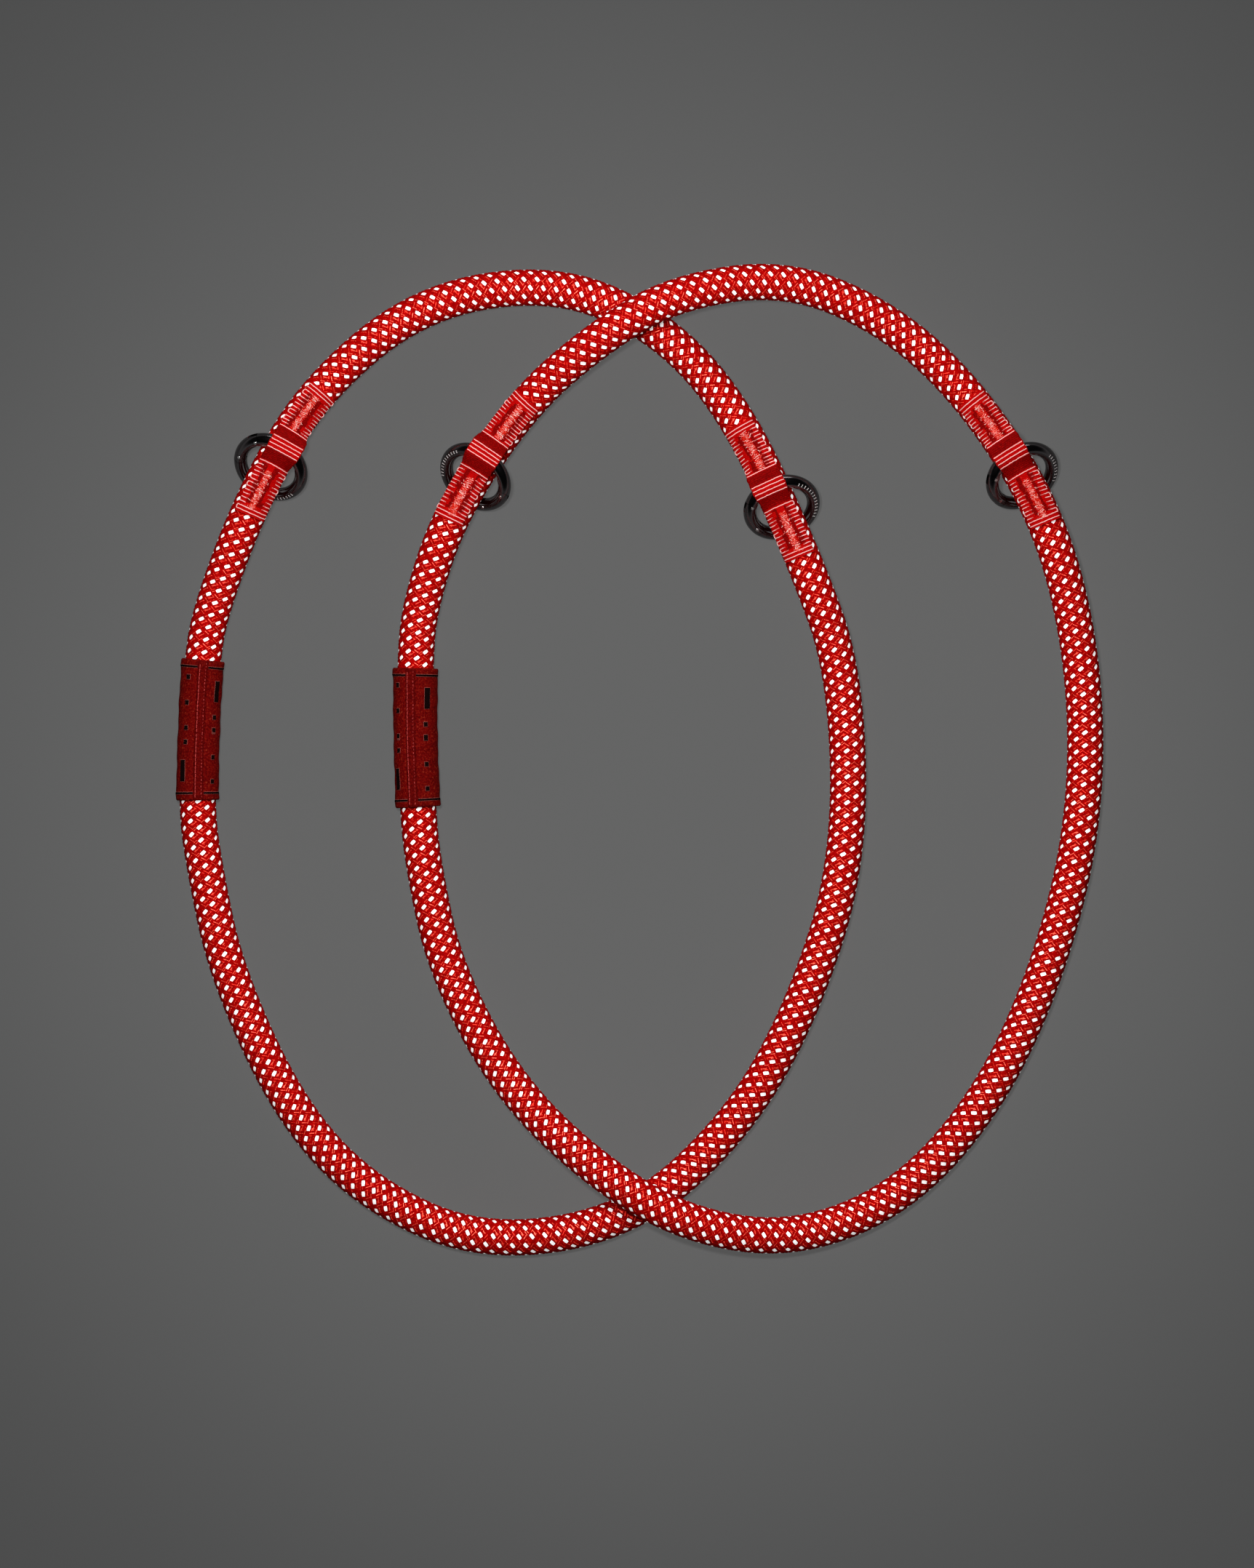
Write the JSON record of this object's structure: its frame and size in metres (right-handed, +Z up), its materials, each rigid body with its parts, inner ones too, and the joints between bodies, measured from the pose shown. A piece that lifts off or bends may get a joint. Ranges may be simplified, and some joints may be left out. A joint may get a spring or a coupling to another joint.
{
  "type": "rope carry loops with gate rings",
  "caption": "Pair of closed braided rope loops, each with a sewn label sleeve and spring-gate rings held in sewn webbing tapes.",
  "frame": {"origin": "on the table, under the middle of the pair's outline", "axes": "+Z up from the table, +Y along the loops towards their ringed ends, +X from loop a towards loop b"},
  "size_m": [0.2558, 0.2732, 0.0204],
  "materials": {
    "rope_red": "braided polyester with bright reflective picks",
    "rope_core": "bundled yarn core",
    "wrap_cloth": "adhesive cloth wrap",
    "sleeve_cloth": "close-woven label cloth",
    "sleeve_thread": "sewing thread",
    "webbing_red": "ribbed grosgrain webbing",
    "bartack_thread": "dense zigzag sewing thread",
    "black_plating": "polished black plating",
    "pin_steel": "dark steel pin",
    "spring_steel": "spring wire"
  },
  "bodies": {
    "loop_a": {"rope_sheath_a": "rope_red", "rope_core_a": "rope_core", "splice_wrap_a": "wrap_cloth", "label_sleeve_a": "sleeve_cloth", "label_seam_a": "sleeve_thread", "tape_a1": "webbing_red", "bartacks_a1": "bartack_thread", "tape_a2": "webbing_red", "bartacks_a2": "bartack_thread"},
    "loop_b": {"rope_sheath_b": "rope_red", "rope_core_b": "rope_core", "splice_wrap_b": "wrap_cloth", "label_sleeve_b": "sleeve_cloth", "label_seam_b": "sleeve_thread", "tape_b1": "webbing_red", "bartacks_b1": "bartack_thread", "tape_b2": "webbing_red", "bartacks_b2": "bartack_thread"},
    "ring_a1": {"ring_body_a1": "black_plating"},
    "gate_a1": {"gate_a1": "black_plating", "pivot_pin_a1": "pin_steel", "latch_pin_a1": "pin_steel", "gate_spring_a1": "spring_steel"},
    "ring_a2": {"ring_body_a2": "black_plating"},
    "gate_a2": {"gate_a2": "black_plating", "pivot_pin_a2": "pin_steel", "latch_pin_a2": "pin_steel", "gate_spring_a2": "spring_steel"},
    "ring_b1": {"ring_body_b1": "black_plating"},
    "gate_b1": {"gate_b1": "black_plating", "pivot_pin_b1": "pin_steel", "latch_pin_b1": "pin_steel", "gate_spring_b1": "spring_steel"},
    "ring_b2": {"ring_body_b2": "black_plating"},
    "gate_b2": {"gate_b2": "black_plating", "pivot_pin_b2": "pin_steel", "latch_pin_b2": "pin_steel", "gate_spring_b2": "spring_steel"}
  },
  "joints": [
    {"name": "lift_loop_b", "type": "slide", "parent": "loop_a", "child": "loop_b", "axis": [0, 0, 1], "range_m": [0, 0.08]},
    {"name": "ring_swing_a1", "type": "hinge", "parent": "loop_a", "child": "ring_a1", "pos_m": [-0.09757, 0.08636, 0.01384], "axis": [0.8537, -0.5208, 0], "range_deg": [0, 80]},
    {"name": "gate_open_a1", "type": "hinge", "parent": "ring_a1", "child": "gate_a1", "pos_m": [-0.10926, 0.08416, 0.00667], "axis": [0.3485, 0.5712, -0.7431], "range_deg": [0, 4], "stiffness_Nm_per_rad": 0.03, "springref_deg": -20.05},
    {"name": "ring_swing_a2", "type": "hinge", "parent": "loop_a", "child": "ring_a2", "pos_m": [0.03697, 0.07584, 0.01384], "axis": [0.9373, 0.3485, 0], "range_deg": [0, 80]},
    {"name": "gate_open_a2", "type": "hinge", "parent": "ring_a2", "child": "gate_a2", "pos_m": [0.03226, 0.06439, 0.00566], "axis": [-0.2332, 0.6272, -0.7431], "range_deg": [0, 3], "stiffness_Nm_per_rad": 0.03, "springref_deg": -20.05},
    {"name": "ring_swing_b1", "type": "hinge", "parent": "loop_b", "child": "ring_b1", "pos_m": [-0.04084, 0.08275, 0.01475], "axis": [0.772, -0.6356, 0], "range_deg": [0, 80]},
    {"name": "gate_open_b1", "type": "hinge", "parent": "ring_b1", "child": "gate_b1", "pos_m": [-0.03723, 0.07323, 0.00951], "axis": [0.4572, 0.5553, -0.6947], "range_deg": [0, 6], "stiffness_Nm_per_rad": 0.03, "springref_deg": -20.05},
    {"name": "ring_swing_b2", "type": "hinge", "parent": "loop_b", "child": "ring_b2", "pos_m": [0.10174, 0.08359, 0.0143], "axis": [0.8282, 0.5604, 0], "range_deg": [0, 80]},
    {"name": "gate_open_b2", "type": "hinge", "parent": "ring_b2", "child": "gate_b2", "pos_m": [0.09883, 0.07218, 0.00675], "axis": [-0.3893, 0.5753, -0.7193], "range_deg": [0, 5], "stiffness_Nm_per_rad": 0.03, "springref_deg": -20.05}
  ]
}
